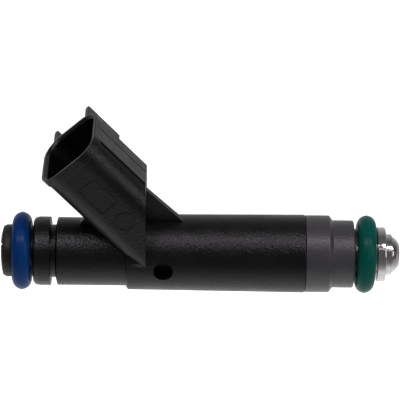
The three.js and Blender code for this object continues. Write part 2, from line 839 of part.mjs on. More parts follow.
const armature = () =>
  revolve(
    [
      [xArmature, POLE_BORE / 2],
      [xArmature, armatureRadius],
      [xArmatureEnd, armatureRadius],
      [xArmatureEnd, NEEDLE_DIAMETER / 2 + FIT_GAP],
      [xArmatureEnd - NEEDLE_IN_ARMATURE - FIT_GAP, NEEDLE_DIAMETER / 2 + FIT_GAP],
      [xArmatureEnd - NEEDLE_IN_ARMATURE - FIT_GAP, NEEDLE_BORE / 2],
      [xArmature + SPRING_SEAT_DEPTH, NEEDLE_BORE / 2],
      [xArmature + SPRING_SEAT_DEPTH, POLE_BORE / 2],
    ],
    SMALL_FACETS,
  );

const needle = () =>
  revolve(
    ring(xArmatureEnd - NEEDLE_IN_ARMATURE, xNeedleEnd, NEEDLE_BORE / 2, NEEDLE_DIAMETER / 2),
    SMALL_FACETS,
  );

const valveBall = () =>
  new THREE.SphereGeometry(ballRadius, SMALL_FACETS, SMALL_FACETS / 2)
    .rotateZ(-Math.PI / 2)
    .translate(xBall, 0, 0);

// A disc that centres the ball, with ports round it for the fuel.
function ballGuide() {
  const circle = (guideHole + discRadius) / 2;
  const ports = barCircle(GUIDE_PORT_COUNT, circle, xGuide - PAST, xSeat + PAST, GUIDE_PORT / 2);
  return geometryOf(
    cut(
      solid(revolve(ring(xGuide, xGuide + GUIDE_THICKNESS, guideHole, discRadius), SMALL_FACETS)),
      ...ports,
    ),
  );
}

const valveSeat = () =>
  revolve(
    [
      [xSeat, discRadius],
      [xSeatEnd, discRadius],
      [xSeatEnd, SEAT_BORE / 2],
      [xSeatEnd - SEAT_THROAT, SEAT_BORE / 2],
      [coneApex - coneRim, coneRim],
      [xSeat, coneRim],
    ],
    SMALL_FACETS,
  );

// The thin plate whose small holes meter and aim the spray.
function orificePlate() {
  const x1 = xOrifice + ORIFICE_THICKNESS;
  const plate = solid(
    revolve(
      [
        [xOrifice, 0],
        [xOrifice, discRadius],
        [x1, discRadius],
        [x1, 0],
      ],
      SMALL_FACETS,
    ),
  );
  const holes = barCircle(
    ORIFICE_COUNT,
    ORIFICE_CIRCLE / 2,
    xOrifice - PAST,
    x1 + PAST,
    ORIFICE_HOLE / 2,
  );
  return geometryOf(cut(plate, ...holes));
}

const backingRing = () =>
  revolve(ring(xRetainer, xRetainer + RETAINER_THICKNESS, END_OPENING / 2, discRadius), SMALL_FACETS);

// ---- Assembly -----------------------------------------------------------------------------------

const injector = new THREE.Group();
injector.name = 'fuel_injector';

function add(name, geometry, finish, group = injector) {
  const mesh = new THREE.Mesh(geometry, finish);
  mesh.name = name;
  group.add(mesh);
}

add('cover', cover(), blackNylon);
add('nozzle_sleeve', nozzleSleeve(), greyNylon);
add('inlet_cap', inletCap(), capNylon);
add('upper_o_ring', oRing(xUpperRing), blueRubber);
add('lower_o_ring', oRing(0), greenRubber);
add('ring_retainer', ringRetainer(), stainless);

add('inlet_tube', inletTube(), stainless);
add('filter_ring', filterRing(), brass);
add('filter_screen', filterScreen(), whiteNylon);
add('adjusting_tube', adjustingTube(), stainless);
add('return_spring', returnSpring(), springSteel);

add('flux_washer', fluxWasher(), magnetSteel);
add('coil_bobbin', coilBobbin(), whiteNylon);
add('coil_winding', coilWinding(), copper);
add('coil_housing', coilHousing(), magnetSteel);
add('terminal_left', geometryOf(terminalSolid(-1)), tinnedBrass);
add('terminal_right', geometryOf(terminalSolid(1)), tinnedBrass);

add('barrier_sleeve', barrierSleeve(), stainless);
add('valve_body', valveBody(), stainless);
add('ball_guide', ballGuide(), stainless);
add('valve_seat', valveSeat(), stainless);
add('orifice_plate', orificePlate(), stainless);
add('backing_ring', backingRing(), stainless);

// The armature, needle and ball are welded together and lift as one.
const valveNeedle = new THREE.Group();
injector.add(valveNeedle);
add('armature', armature(), magnetSteel, valveNeedle);
add('needle', needle(), stainless, valveNeedle);
add('valve_ball', valveBall(), stainless, valveNeedle);

export default injector;
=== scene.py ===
"""A long-body port fuel injector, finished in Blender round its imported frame.

Shapes are worked out in millimetres and turned to metres as their mesh is made. The injector lies along
X, with the spray tip at +X and the origin at the middle of the lower O-ring. Its plug socket slants up
towards +Z and back towards the inlet. Every turned piece is a closed section of (x, radius) points
carried round the X axis.
"""

import math

import bpy
import numpy as np
from mathutils import Matrix, Vector


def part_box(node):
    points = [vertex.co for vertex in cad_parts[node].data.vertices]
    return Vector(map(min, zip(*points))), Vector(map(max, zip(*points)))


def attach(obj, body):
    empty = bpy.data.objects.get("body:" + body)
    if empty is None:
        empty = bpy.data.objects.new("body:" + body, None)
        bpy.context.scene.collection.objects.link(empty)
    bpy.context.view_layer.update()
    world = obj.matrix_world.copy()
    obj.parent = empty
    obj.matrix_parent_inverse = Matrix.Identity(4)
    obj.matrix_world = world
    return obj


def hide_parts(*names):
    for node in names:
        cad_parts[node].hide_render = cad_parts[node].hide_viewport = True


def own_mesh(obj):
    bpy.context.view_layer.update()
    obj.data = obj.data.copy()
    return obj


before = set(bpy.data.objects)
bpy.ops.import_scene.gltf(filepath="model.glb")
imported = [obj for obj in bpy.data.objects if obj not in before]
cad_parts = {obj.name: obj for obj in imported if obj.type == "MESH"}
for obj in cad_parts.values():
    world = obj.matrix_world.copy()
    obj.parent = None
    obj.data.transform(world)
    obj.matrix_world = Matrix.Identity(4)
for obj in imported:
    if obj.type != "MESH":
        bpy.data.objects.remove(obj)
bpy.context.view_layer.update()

MM = 0.001
BODY = "injector_body"
VALVE = "valve_needle"

# ---- Sizes in millimetres ------------------------------------------------------------------------

FINE = 144  # steps round a large turned piece
SMALL = 72  # steps round a small one
ARC = 5  # steps in a rounded corner
EDGE = 0.12  # radius of an edge that is only broken
FIT_GAP = 0.05

GROOVE_WIDTH = 1.0
GROOVE_CHAMFER = 0.3
COLLAR_LENGTH = 3.2
UPPER_LENGTH = 13.2
MAIN_LENGTH = 33.2
SHOULDER_LENGTH = 0.4
GROOVE_RADIUS = 4.975
UPPER_RADIUS = 6.4
COLLAR_RADIUS = 6.475
COLLAR_CHAMFER = (1.1, 0.25)  # along X, and inwards
MAIN_RADIUS = 7.35
MAIN_TAPER = 0.25
TUBE_HOLE = 3.75
CAN_HOLE = 6.55

SOCKET_ANGLE = math.radians(47.6)
SHOULDER_TO_FOOT = 9.8
SOCKET_REACH = 30.5
SOCKET_DEPTH = 12.5
SHELL = (6.5, 7.4, 4.2)  # half across, half width, corner radius
SOCKET_WALL = 0.9
INNER_CORNER = 2.8
LEAD_IN = 0.45
LIP_LENGTH = 1.7
LIP_HEIGHT = 0.2
STRIP_HALF = 3.45
STRIP_HEIGHT = 0.23
BLOCK_TO_SHOULDER = 3.45
RIB_OFFSETS = (-4.0, 3.95)
RIB_WIDTH = 1.0
RIB_HEIGHT = 3.35
RIB_LENGTH = 8.5
LATCH_LENGTH = 3.2
LATCH_WIDTH = 4.2
LATCH_HEIGHT = 1.5
INSERT_OBLONG = (-2.1, 2.0, 18.8, 25.4)  # lowest and highest across the socket, then along it
INSERT_ROUND = (15.0, 1.92)  # place along the socket, and radius
LINE_WIDTH = 0.16
LINE_HEIGHT = 0.1
GUSSET_THICKNESS = 1.5
GUSSET_LENGTH = 7.2
GUSSET_HEIGHT = 6.5
UNDER_WEB = ((-9.5, 5.8), (-6.3, 10.0), (-3.3, 6.0))  # x from the shoulder, and z
PIN_HOLE_RADIUS = 1.825
PIN_HOLE_TO_SHOULDER = 6.7
PIN_HOLE_FLOOR = 0.5  # of plastic left over the tube

RING_RADIUS = 5.525  # to the middle of the rubber
RING_HALF = 1.765
SEAM_RIDGE = (0.07, 0.055)  # height, and spread round the rubber in radians
LOWER_RING_LEAN = 1.6  # degrees
CAP_CHAMFER = (0.7, 0.35)  # along X, and inwards
NECK_RADIUS = 6.35
NECK_LENGTH = 3.94
SLEEVE_LENGTH = 5.2
SLEEVE_TAPER = 0.7
HUB_RADIUS = 4.7
TIP_RADIUS = 3.45
TIP_CONE = (1.3, 1.3)  # along X, and inwards
TIP_BULGE = (0.45, 0.42)  # shares of the cone's length and depth where it bulges
RETAINER_COLLAR = (1.15, 0.35)  # along X, and outwards

TUBE_RADIUS = 3.7
INLET_BORE = 2.8
INLET_FLARE = (0.2, 0.15)  # along X, and outwards
POLE_BORE = 1.6
BARRIER_BORE = 2.65
POLE_NOSE = 2.5
END_OPENING = 1.5
END_LIP = 0.9
POCKET = 2.65
BODY_BORE = 2.3
ARMATURE_ROOM = 0.5
BOBBIN_FLANGE = 0.9
BOBBIN_CORE = 4.4
BOBBIN_RADIUS = 5.65
CAN_BORE = 5.7
CAN_BASE = 2.0
FILTER_WALL = 0.35
FILTER_END = 0.6
FILTER_MESH = 0.5
FILTER_WAVE = 0.04
FILTER_RING_WALL = 1.0
ADJUSTING_WALL = 0.55
SPRING_TURNS = 7
SPRING_WIRE = 0.25
WIRE_PITCH = 0.25
WIRE_BULGE = 0.1
BLADE_PITCH = 5.0
BLADE_WIDTH = 2.8
BLADE_LENGTH = 7.5
BLADE_HALF = 0.4
BLADE_EASE = (0.9, 0.5)  # along the blade, and inwards
TAIL_PITCH = 4.0
TAIL_WIDTH = 1.0
COVER_WALL = 0.8
CAST_GAP = 0.3
NEEDLE_BORE = 0.5
NEEDLE_RADIUS = 1.0
NEEDLE_IN_ARMATURE = 3.6
SPRING_SEAT_DEPTH = 1.3
SEAT_BORE = 0.6
SEAT_THROAT = 0.6
BALL_RADIUS = 1.5
SEAT_RIM = 0.4
GUIDE_WALL = 1.04
GUIDE_PORTS = (4, 0.35)  # how many, and their radius
ORIFICES = (4, 0.65, 0.2)  # how many, the circle's radius, and their radius


def span(node):
    """Lowest and highest corner of a CAD node, in millimetres."""
    low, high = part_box(node)
    return np.array(low) / MM, np.array(high) / MM


x_hub, x_cover_end = (corner[0] for corner in span("cover"))
x_shoulder = x_cover_end - MAIN_LENGTH
x_groove_end = x_shoulder - UPPER_LENGTH
x_groove = x_groove_end - GROOVE_CHAMFER - GROOVE_WIDTH
x_collar = x_groove - COLLAR_LENGTH
x_block_end = x_shoulder + BLOCK_TO_SHOULDER
x_foot = x_shoulder + SHOULDER_TO_FOOT

# ---- Surfaces worked out with numpy --------------------------------------------------------------


def unit(vector):
    """A vector of length 1 the same way."""
    return vector / np.linalg.norm(vector)


def rounded(corners, steps=ARC):
    """A closed outline as an array of points. A corner (x, r) stays sharp. A corner (x, r, radius) is
    replaced by the arc of that radius that touches both of its sides: its centre lies on the line that
    halves the corner, at radius / sin(half the corner's angle)."""
    places = [np.array(corner[:2], float) for corner in corners]
    outline = []
    for i, corner in enumerate(corners):
        here = places[i]
        if len(corner) == 2:
            outline.append(here[None])
            continue
        back = unit(places[i - 1] - here)
        onward = unit(places[(i + 1) % len(places)] - here)
        half = math.acos(np.clip(back @ onward, -1, 1)) / 2
        centre = here + unit(back + onward) * corner[2] / math.sin(half)
        ends = [here + way * corner[2] / math.tan(half) - centre for way in (back, onward)]
        start, stop = (math.atan2(end[1], end[0]) for end in ends)
        turn = (stop - start + math.pi) % (2 * math.pi) - math.pi
        angle = start + turn * np.linspace(0, 1, steps + 1)
        outline.append(centre + corner[2] * np.stack([np.cos(angle), np.sin(angle)], -1))
    return np.concatenate(outline)


def skin(name, grid, ring=False):
    """A closed mesh over grid[k, m], whose rows are loops. Row k joins row k + 1 with quads. With ring the
    last row joins the first, and otherwise the first and the last are each closed by a flat face."""
    rows, columns = grid.shape[:2]
    k = np.arange(rows if ring else rows - 1)[:, None]
    m = np.arange(columns)[None, :]
    after = (k + 1) % rows
    beside = (m + 1) % columns
    corners = (k * columns + m, after * columns + m, after * columns + beside, k * columns + beside)
    faces = np.stack([np.broadcast_to(c, (len(k), columns)) for c in corners], -1).reshape(-1, 4).tolist()
    if not ring:
        faces += [list(range(columns)), list(range((rows - 1) * columns, rows * columns))[::-1]]
    mesh = bpy.data.meshes.new(name)
    mesh.from_pydata(grid.reshape(-1, 3).tolist(), [], faces)
    mesh.update()
    if enclosed(mesh) < 0:
        mesh.flip_normals()
    made = bpy.data.objects.new(name, mesh)
    bpy.context.scene.collection.objects.link(made)
    return made


def enclosed(mesh):
    """The volume inside a mesh: a sixth of the sum, over its triangles, of the corners' triple product. It
    is below 0 where the faces point in."""
    mesh.calc_loop_triangles()
    corner = np.zeros(len(mesh.loop_triangles) * 3, np.int32)
    mesh.loop_triangles.foreach_get("vertices", corner)
    place = np.zeros(len(mesh.vertices) * 3)
    mesh.vertices.foreach_get("co", place)
    a, b, c = place.reshape(-1, 3)[corner.reshape(-1, 3)].transpose(1, 0, 2)
    return np.einsum("ij,ij->i", a, np.cross(b, c)).sum() / 6


def turned(name, section, steps=FINE, solid=False):
    """Carries a section round X: the point (x, r) goes to (x, r sin t, r cos t). A solid section is open
    and its two ends are closed flat. Any other section is a closed outline that keeps off the axis."""
    x, radius = np.asarray(section, float).T
    t = np.linspace(0, 2 * math.pi, steps, endpoint=False)
    across = np.stack([np.outer(radius, np.sin(t)), np.outer(radius, np.cos(t))], -1)
    along = np.broadcast_to(x[:, None, None], across.shape[:2] + (1,))
    return skin(name, np.concatenate([along, across], -1), ring=not solid)


def tube(x0, x1, inner, outer, edge=EDGE):
    """The section of a plain ring, its outer edges rounded."""
    return rounded([(x0, inner), (x0, outer, edge), (x1, outer, edge), (x1, inner)])


def prism(name, outline, levels, place):
    """An outline of (u, v) points carried straight along w through the levels, and put where place says."""
    flat = np.asarray(outline, float)
    rows = [np.column_stack([flat, np.full(len(flat), level)]) for level in levels]
    return skin(name, place(np.stack(rows)))


# ---- The socket's own frame: n across it, y along Y, a out of its mouth ---------------------------

SOCKET_OUT = np.array([-math.cos(SOCKET_ANGLE), 0, math.sin(SOCKET_ANGLE)])
SOCKET_ACROSS = np.array([math.sin(SOCKET_ANGLE), 0, math.cos(SOCKET_ANGLE)])
SOCKET_FRAME = np.array([SOCKET_ACROSS, [0, 1, 0], SOCKET_OUT])


def from_socket(points):
    """Points (n, y, a) of the socket's frame in the part's frame."""
    return np.asarray(points) @ SOCKET_FRAME + [x_foot, 0, 0]


def rounded_rectangle(across, width, corner, steps=10):
    """A rectangle's outline with rounded corners, as (n, y) points."""
    signs = ((-1, -1), (1, -1), (1, 1), (-1, 1))
    return rounded([(i * across, j * width, corner) for i, j in signs], steps)


def socket_cup(name):
    """The socket's shell with its lip, rim, lead-in and inside, as one surface. A section of (outset,
    height) points, rounded at its edges, is carried round the shell's rounded rectangle. The outset moves
    every side out and opens the corners by as much, and inside the wall the corners are a little
    tighter."""
    floor = SOCKET_REACH - SOCKET_DEPTH
    lip = SOCKET_REACH - LIP_LENGTH
    mouth = SOCKET_REACH - LEAD_IN
    section = rounded(
        [
            (0, -SOCKET_REACH / 2),
            (0, lip, 0.1),
            (LIP_HEIGHT, lip, 0.08),
            (LIP_HEIGHT, SOCKET_REACH, 0.14),
            (LEAD_IN - SOCKET_WALL, SOCKET_REACH, 0.1),
            (-SOCKET_WALL, mouth, 0.2),
            (-SOCKET_WALL, floor, 0.35),
            (-SOCKET_WALL - 1, floor),
        ]
    )
    tighter = SHELL[2] - SOCKET_WALL - INNER_CORNER
    rows = []
    for outset, height in section:
        inside = np.clip((LIP_HEIGHT - outset) / (LIP_HEIGHT + SOCKET_WALL - LEAD_IN), 0, 1)
        is_rim = height > lip + LIP_LENGTH / 2 or outset < -SOCKET_WALL / 2
        corner = SHELL[2] + outset - (tighter * inside if is_rim else 0)
        loop = rounded_rectangle(SHELL[0] + outset, SHELL[1] + outset, corner)
        rows.append(np.column_stack([loop, np.full(len(loop), height)]))
    return skin(name, from_socket(np.stack(rows)))


# ---- Joining and finishing -----------------------------------------------------------------------


def settle(piece):
    """Makes a piece's modifiers part of its mesh."""
    graph = bpy.context.evaluated_depsgraph_get()
    graph.update()
    mesh = bpy.data.meshes.new_from_object(piece.evaluated_get(graph))
    piece.modifiers.clear()
    piece.data = mesh
    mesh.name = piece.name


def combine(base, operation, others):
    """Joins the others to base with UNION, or cuts them away with DIFFERENCE."""
    for other in others:
        step = base.modifiers.new(operation.title(), "BOOLEAN")
        step.operation = operation
        step.solver = "EXACT"
        step.object = other
    settle(base)
    for other in others:
        bpy.data.objects.remove(other)


def bevel(piece, width, segments=2, angle=35):
    """Rounds every edge of a simple piece that is sharper than the angle, given in degrees."""
    step = piece.modifiers.new("Edges", "BEVEL")
    step.width = width
    step.segments = segments
    step.limit_method = "ANGLE"
    step.angle_limit = math.radians(angle)
    settle(piece)
    return piece


def smooth(piece, angle=32):
    """Shades a piece smooth but for edges sharper than the angle, with flats kept flat."""
    piece.data.shade_smooth()
    piece.data.set_sharp_from_angle(angle=math.radians(angle))
    step = piece.modifiers.new("Flats stay flat", "WEIGHTED_NORMAL")
    step.keep_sharp = True
    step.weight = 60


def finished(piece, material, nodes, body=BODY, angle=32):
    """Turns a piece from millimetres to metres, and gives it its material and its body, and hides the CAD
    nodes that it stands for."""
    piece.data.transform(Matrix.Scale(MM, 4))
    smooth(piece, angle)
    piece.data.materials.clear()
    piece.data.materials.append(material)
    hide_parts(*nodes)
    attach(piece, body)
    return piece


# ---- Materials -----------------------------------------------------------------------------------


def linear(code):
    """An sRGB hex colour as linear red, green, blue and alpha."""
    parts = [int(code[i : i + 2], 16) / 255 for i in (1, 3, 5)]
    return [c / 12.92 if c <= 0.04045 else ((c + 0.055) / 1.055) ** 2.4 for c in parts] + [1.0]


def add(tree, kind, settings=None, **inputs):
    """Adds a shader node. settings are its properties, and each input is a value or another node's output.
    An input's name has _ for a space, and a number at its end picks a socket by its place."""
    made = tree.nodes.new("ShaderNode" + kind)
    for key, value in (settings or {}).items():
        setattr(made, key, value)
    for key, value in inputs.items():
        socket = made.inputs[int(key[1:])] if key[1:].isdigit() else made.inputs[key.replace("_", " ")]
        if isinstance(value, bpy.types.NodeSocket):
            tree.links.new(value, socket)
        else:
            socket.default_value = value
    return made


def start(name):
    """A new material, its node tree, its shader and the place of each point on the object in metres."""
    material = bpy.data.materials.new(name)
    material.use_nodes = True
    tree = material.node_tree
    shader = tree.nodes["Principled BSDF"]
    place = add(tree, "TexCoord").outputs["Object"]
    return material, tree, shader, place


def mixed(tree, noise, dark, light):
    """Two colours, given as hex codes, mixed by a noise."""
    return add(
        tree, "Mix", {"data_type": "RGBA"}, _0=noise.outputs["Fac"], _6=linear(dark), _7=linear(light)
    )


def per_mm(size):
    """The scale of a noise on coordinates in metres whose grains are as large as size, in millimetres."""
    return 1 / (size * MM)


def moulded(name, dark, light, roughness, specular, grain=0.36, depth=0.1):
    """Moulded glass-filled nylon: the tool's spark-eroded face leaves a fine grain, which breaks a
    highlight into specks, and the fibres leave faint clouds of gloss and shade. The real grain is about
    0.1 mm, too fine to show, so it is drawn coarser."""
    material, tree, shader, place = start(name)
    clouds = add(tree, "TexNoise", Vector=place, Scale=per_mm(4.0), Detail=3.0, Roughness=0.6)
    specks = add(tree, "TexNoise", Vector=place, Scale=per_mm(grain), Detail=2.5, Roughness=0.65)
    shade = mixed(tree, clouds, dark, light)
    gloss = add(
        tree,
        "MapRange",
        Value=clouds.outputs["Fac"],
        From_Min=0.35,
        From_Max=0.65,
        To_Min=roughness - 0.05,
        To_Max=roughness + 0.05,
    )
    bump = add(tree, "Bump", Strength=1.0, Distance=depth * MM, Height=specks.outputs["Fac"])
    tree.links.new(shade.outputs[2], shader.inputs["Base Color"])
    tree.links.new(gloss.outputs[0], shader.inputs["Roughness"])
    tree.links.new(bump.outputs[0], shader.inputs["Normal"])
    shader.inputs["Specular IOR Level"].default_value = specular
    return material


def rubber(name, dark, light):
    """Fluorocarbon rubber from a polished mould, wiped with oil: smooth, with broad soft highlights, and a
    faint dusting that dulls them in places."""
    material, tree, shader, place = start(name)
    clouds = add(tree, "TexNoise", Vector=place, Scale=per_mm(2.2), Detail=4.0, Roughness=0.6)
    skin_grain = add(tree, "TexNoise", Vector=place, Scale=per_mm(0.2), Detail=2.0, Roughness=0.5)
    shade = mixed(tree, clouds, dark, light)
    gloss = add(
        tree, "MapRange", Value=clouds.outputs["Fac"], From_Min=0.3, From_Max=0.7, To_Min=0.26, To_Max=0.38
    )
    bump = add(tree, "Bump", Strength=0.25, Distance=0.004 * MM, Height=skin_grain.outputs["Fac"])
    tree.links.new(shade.outputs[2], shader.inputs["Base Color"])
    tree.links.new(gloss.outputs[0], shader.inputs["Roughness"])
    tree.links.new(bump.outputs[0], shader.inputs["Normal"])
    shader.inputs["Specular IOR Level"].default_value = 0.08
    return material


def turned_metal(name, dark, light, roughness, pitch=0.12):
    """Metal turned on a lathe: the tool leaves fine rings round the axis, so the noise is stretched round
    it and changes quickly along it. The real rings are a few hundredths of a millimetre apart, too fine
    to show, so they are drawn coarser."""
    material, tree, shader, place = start(name)
    stretched = add(tree, "Mapping", Vector=place, Scale=(1.0, 0.06, 0.06))
    rings = add(
        tree, "TexNoise", Vector=stretched.outputs[0], Scale=per_mm(pitch), Detail=3.0, Roughness=0.7
    )
    clouds = add(tree, "TexNoise", Vector=place, Scale=per_mm(1.5), Detail=2.0)
    shade = mixed(tree, rings, dark, light)
    gloss = add(
        tree,
        "MapRange",
        Value=clouds.outputs["Fac"],
        From_Min=0.3,
        From_Max=0.7,
        To_Min=roughness - 0.06,
        To_Max=roughness + 0.06,
    )
    bump = add(tree, "Bump", Strength=0.12, Distance=0.005 * MM, Height=rings.outputs["Fac"])
    tree.links.new(shade.outputs[2], shader.inputs["Base Color"])
    tree.links.new(gloss.outputs[0], shader.inputs["Roughness"])
    tree.links.new(bump.outputs[0], shader.inputs["Normal"])
    shader.inputs["Metallic"].default_value = 1.0
    return material


# Nearly black, with a broad highlight broken into specks.
black_nylon = moulded("black moulded nylon", "#030303", "#070707", 0.33, 0.35)
# A warmer and flatter black than the body's.
cap_nylon = moulded("warm black moulded nylon", "#1b1714", "#24201b", 0.45, 0.3)
# Dark grey, with a finer and fuller sheen.
grey_nylon = moulded("grey moulded nylon", "#343336", "#3e3d40", 0.36, 0.55, depth=0.07)
# Deep blue and deep green, each with one soft highlight.
blue_rubber = rubber("blue fluorocarbon rubber", "#062e62", "#083770")
green_rubber = rubber("green fluorocarbon rubber", "#03483e", "#045347")
# Bright and nearly mirror-like, with fine rings.
stainless = turned_metal("turned stainless steel", "#bab4b7", "#dcd7d9", 0.13)
# Duller greys, which blur what they reflect.
magnet_steel = turned_metal("zinc-plated soft magnetic steel", "#8b8f92", "#b4b7b8", 0.32, 0.2)
spring_steel = turned_metal("drawn spring steel", "#74787c", "#a2a6a9", 0.28, 0.15)
# Yellow, seen as a ring inside the inlet.
brass = turned_metal("turned brass", "#b08a3e", "#d9b566", 0.24)
# Soft silver blades in the dark of the socket.
tinned_bronze = turned_metal("tin-plated bronze strip", "#a8a9a4", "#c9cac4", 0.34, 0.3)
# Red-brown, under clear enamel.
copper_wire = turned_metal("enamelled copper wire", "#7d3416", "#b4582a", 0.26, 0.25)
# Pale, warm and nearly smooth.
white_nylon = moulded("natural white nylon", "#cbc6b6", "#dedacb", 0.45, 0.5, depth=0.02)

# ---- Outside pieces --------------------------------------------------------------------------------


def cover_turned():
    """The cover's turned body: collar, groove, upper body, step and main body, closed at both ends."""
    low = MAIN_RADIUS - MAIN_TAPER
    ledge = UPPER_RADIUS - 4 * GROOVE_CHAMFER
    return turned(
        "cover",
        rounded(
            [
                (x_hub, 0.5),
                (x_hub, HUB_RADIUS, 0.08),
                (x_collar, HUB_RADIUS, 0.08),
                (x_collar, COLLAR_RADIUS - COLLAR_CHAMFER[1], 0.75),
                (x_collar + COLLAR_CHAMFER[0], COLLAR_RADIUS, 0.5),
                (x_groove, COLLAR_RADIUS, 0.1),
                (x_groove, GROOVE_RADIUS, 0.12),
                (x_groove + GROOVE_WIDTH, GROOVE_RADIUS, 0.08),
                (x_groove + GROOVE_WIDTH, ledge, 0.1),
                (x_groove_end, UPPER_RADIUS, 0.3),
                (x_shoulder - SHOULDER_LENGTH, UPPER_RADIUS, 0.15),
                (x_shoulder, low, 0.2),
                (x_cover_end, MAIN_RADIUS, 0.2),
                (x_cover_end, 0.5),
            ]
        ),
        solid=True,
    )


def far_half(corner, size=1):
    """A block whose lowest corner is given and whose other corner is far away."""
    low = np.array(corner, float)
    square = [(0, 0), (size, 0), (size, size), (0, size)]
    return prism("half", square, [0, size], lambda p: p + low)


def ribs_and_latch():
    """The two keying ribs on the far side of the socket, with rounded crests, and the latch ramp."""
    face = SHELL[1]
    made = []
    for i, offset in enumerate(RIB_OFFSETS):
        half = RIB_WIDTH / 2
        crest = face + RIB_HEIGHT
        outline = rounded(
            [
                (offset - half, face - SOCKET_WALL / 2),
                (offset + half, face - SOCKET_WALL / 2),
                (offset + half, crest, half - 0.01),
                (offset - half, crest, half - 0.01),
            ]
        )
        levels = [SOCKET_REACH - RIB_LENGTH, SOCKET_REACH - 0.03]
        made.append(bevel(prism(f"rib_{i}", outline, levels, from_socket), EDGE))
    middle = sum(RIB_OFFSETS) / 2
    top = SOCKET_REACH - LIP_LENGTH
    ramp = [
        (top, face - SOCKET_WALL / 2),
        (top, face + LIP_HEIGHT),
        (top - LATCH_LENGTH, face + LATCH_HEIGHT),
        (top - LATCH_LENGTH, face - SOCKET_WALL / 2),
    ]
    levels = [middle - LATCH_WIDTH / 2, middle + LATCH_WIDTH / 2]
    made.append(bevel(prism("latch", ramp, levels, lambda p: from_socket(p[..., [2, 1, 0]])), EDGE))
    return made


def strip_pads():
    """The raised strip along the socket's top, in two halves that meet at the tool's parting line."""
    low = SHELL[0] - SOCKET_WALL / 2
    high = SHELL[0] + STRIP_HEIGHT
    end = SOCKET_REACH - LIP_LENGTH / 2
    parting = 0.6
    seam = 0.09
    made = []
    for name, y0, y1 in (("near", -STRIP_HALF, parting - seam), ("far", parting + seam, STRIP_HALF)):
        outline = [(low, y0), (high, y0), (high, y1), (low, y1)]
        made.append(bevel(prism(f"strip_{name}", outline, [0, end], from_socket), 0.06))
    return made


def insert_lines():
    """The fine raised lines that the tool's inserts leave on the socket's near wall: an oblong and a
    round. Each is a closed band whose four loops, low and high, outside and inside, are joined."""
    n0, n1, a0, a1 = INSERT_OBLONG
    oblong = rounded([(n0, a0, 0.2), (n1, a0, 0.2), (n1, a1, 0.2), (n0, a1, 0.2)])
    t = np.linspace(0, 2 * math.pi, SMALL, endpoint=False)
    place, radius = INSERT_ROUND
    outlines = [oblong, np.column_stack([radius * np.cos(t), place + radius * np.sin(t)])]
    low = SHELL[1] - SOCKET_WALL / 2
    high = SHELL[1] + LINE_HEIGHT
    made = []
    for i, outline in enumerate(outlines):
        middle = outline.mean(0)
        reach = np.abs(outline - middle).max(0)
        narrow = middle + (outline - middle) * (1 - LINE_WIDTH / reach)
        loops = [(outline, low), (outline, high), (narrow, high), (narrow, low)]
        rows = [np.column_stack([loop[:, 0], np.full(len(loop), -y), loop[:, 1]]) for loop, y in loops]
        made.append(skin(f"insert_{i}", from_socket(np.stack(rows)), ring=True))
    return made


def web(points, thickness=GUSSET_THICKNESS):
    """A thin upright web, drawn as (x, z) points and centred on the XZ plane."""
    return prism("web", points, [-thickness / 2, thickness / 2], lambda p: p[..., [0, 2, 1]])


def cover():
    """The whole black moulding: the turned body, the socket's cup cut off square at its foot, the gusset
    and the web under the socket, bored for the tube and the magnet's can, with a blind core-pin hole in
    each side."""
    block = socket_cup("block")
    far = 90
    beyond = far_half((x_block_end, -far / 2, -far / 2), far)
    below = far_half((x_block_end - far, -far / 2, -far), far)
    combine(block, "UNION", strip_pads() + ribs_and_latch() + insert_lines())
    combine(block, "DIFFERENCE", [beyond, below])
    body = cover_turned()
    gusset = web(
        [
            (x_block_end - 1, TUBE_HOLE),
            (x_block_end + GUSSET_LENGTH, TUBE_HOLE),
            (x_block_end + GUSSET_LENGTH, MAIN_RADIUS - 2 * MAIN_TAPER),
            (x_block_end, MAIN_RADIUS + GUSSET_HEIGHT),
            (x_block_end - 1, MAIN_RADIUS + GUSSET_HEIGHT),
        ]
    )
    under = web([(x_shoulder + x, z) for x, z in UNDER_WEB])
    combine(body, "UNION", [block, bevel(gusset, EDGE), bevel(under, EDGE)])
    x_can = span("flux_washer")[0][0] - FIT_GAP
    bores = turned(
        "bores",
        [
            (x_hub - 1, TUBE_HOLE),
            (x_can, TUBE_HOLE),
            (x_can, CAN_HOLE),
            (x_cover_end + 1, CAN_HOLE),
        ],
        solid=True,
    )
    t = np.linspace(0, 2 * math.pi, SMALL, endpoint=False)
    circle = PIN_HOLE_RADIUS * np.column_stack([np.cos(t), np.sin(t)])
    circle += [x_shoulder + PIN_HOLE_TO_SHOULDER, 0]
    pins = []
    for side in (-1, 1):
        levels = [side * (TUBE_HOLE + PIN_HOLE_FLOOR), side * (MAIN_RADIUS + 1)]
        pins.append(prism("pin", circle, levels, lambda p: p[..., [0, 2, 1]]))
    combine(body, "DIFFERENCE", [bores] + pins)
    return finished(body, black_nylon, ["cover"])


def nozzle_sleeve():
    """The grey sleeve: a skirt inside the cover's end, the full body, a taper to the neck, and the hub
    under the lower O-ring."""
    low, high = span("nozzle_sleeve")
    sleeve = high[2]
    x_taper = x_cover_end + SLEEVE_LENGTH
    x_neck_end = x_taper + NECK_LENGTH
    return finished(
        turned(
            "nozzle_sleeve",
            rounded(
                [
                    (low[0], TUBE_HOLE),
                    (low[0], CAN_HOLE - FIT_GAP, 0.2),
                    (x_cover_end + FIT_GAP, CAN_HOLE - FIT_GAP),
                    (x_cover_end + FIT_GAP, sleeve, 0.2),
                    (x_taper - SLEEVE_TAPER, sleeve, 0.2),
                    (x_taper, NECK_RADIUS, 0.2),
                    (x_neck_end, NECK_RADIUS, 0.3),
                    (x_neck_end, HUB_RADIUS, 0.08),
                    (high[0], HUB_RADIUS, 0.08),
                    (high[0], TUBE_HOLE),
                ]
            ),
        ),
        grey_nylon,
        ["nozzle_sleeve"],
    )


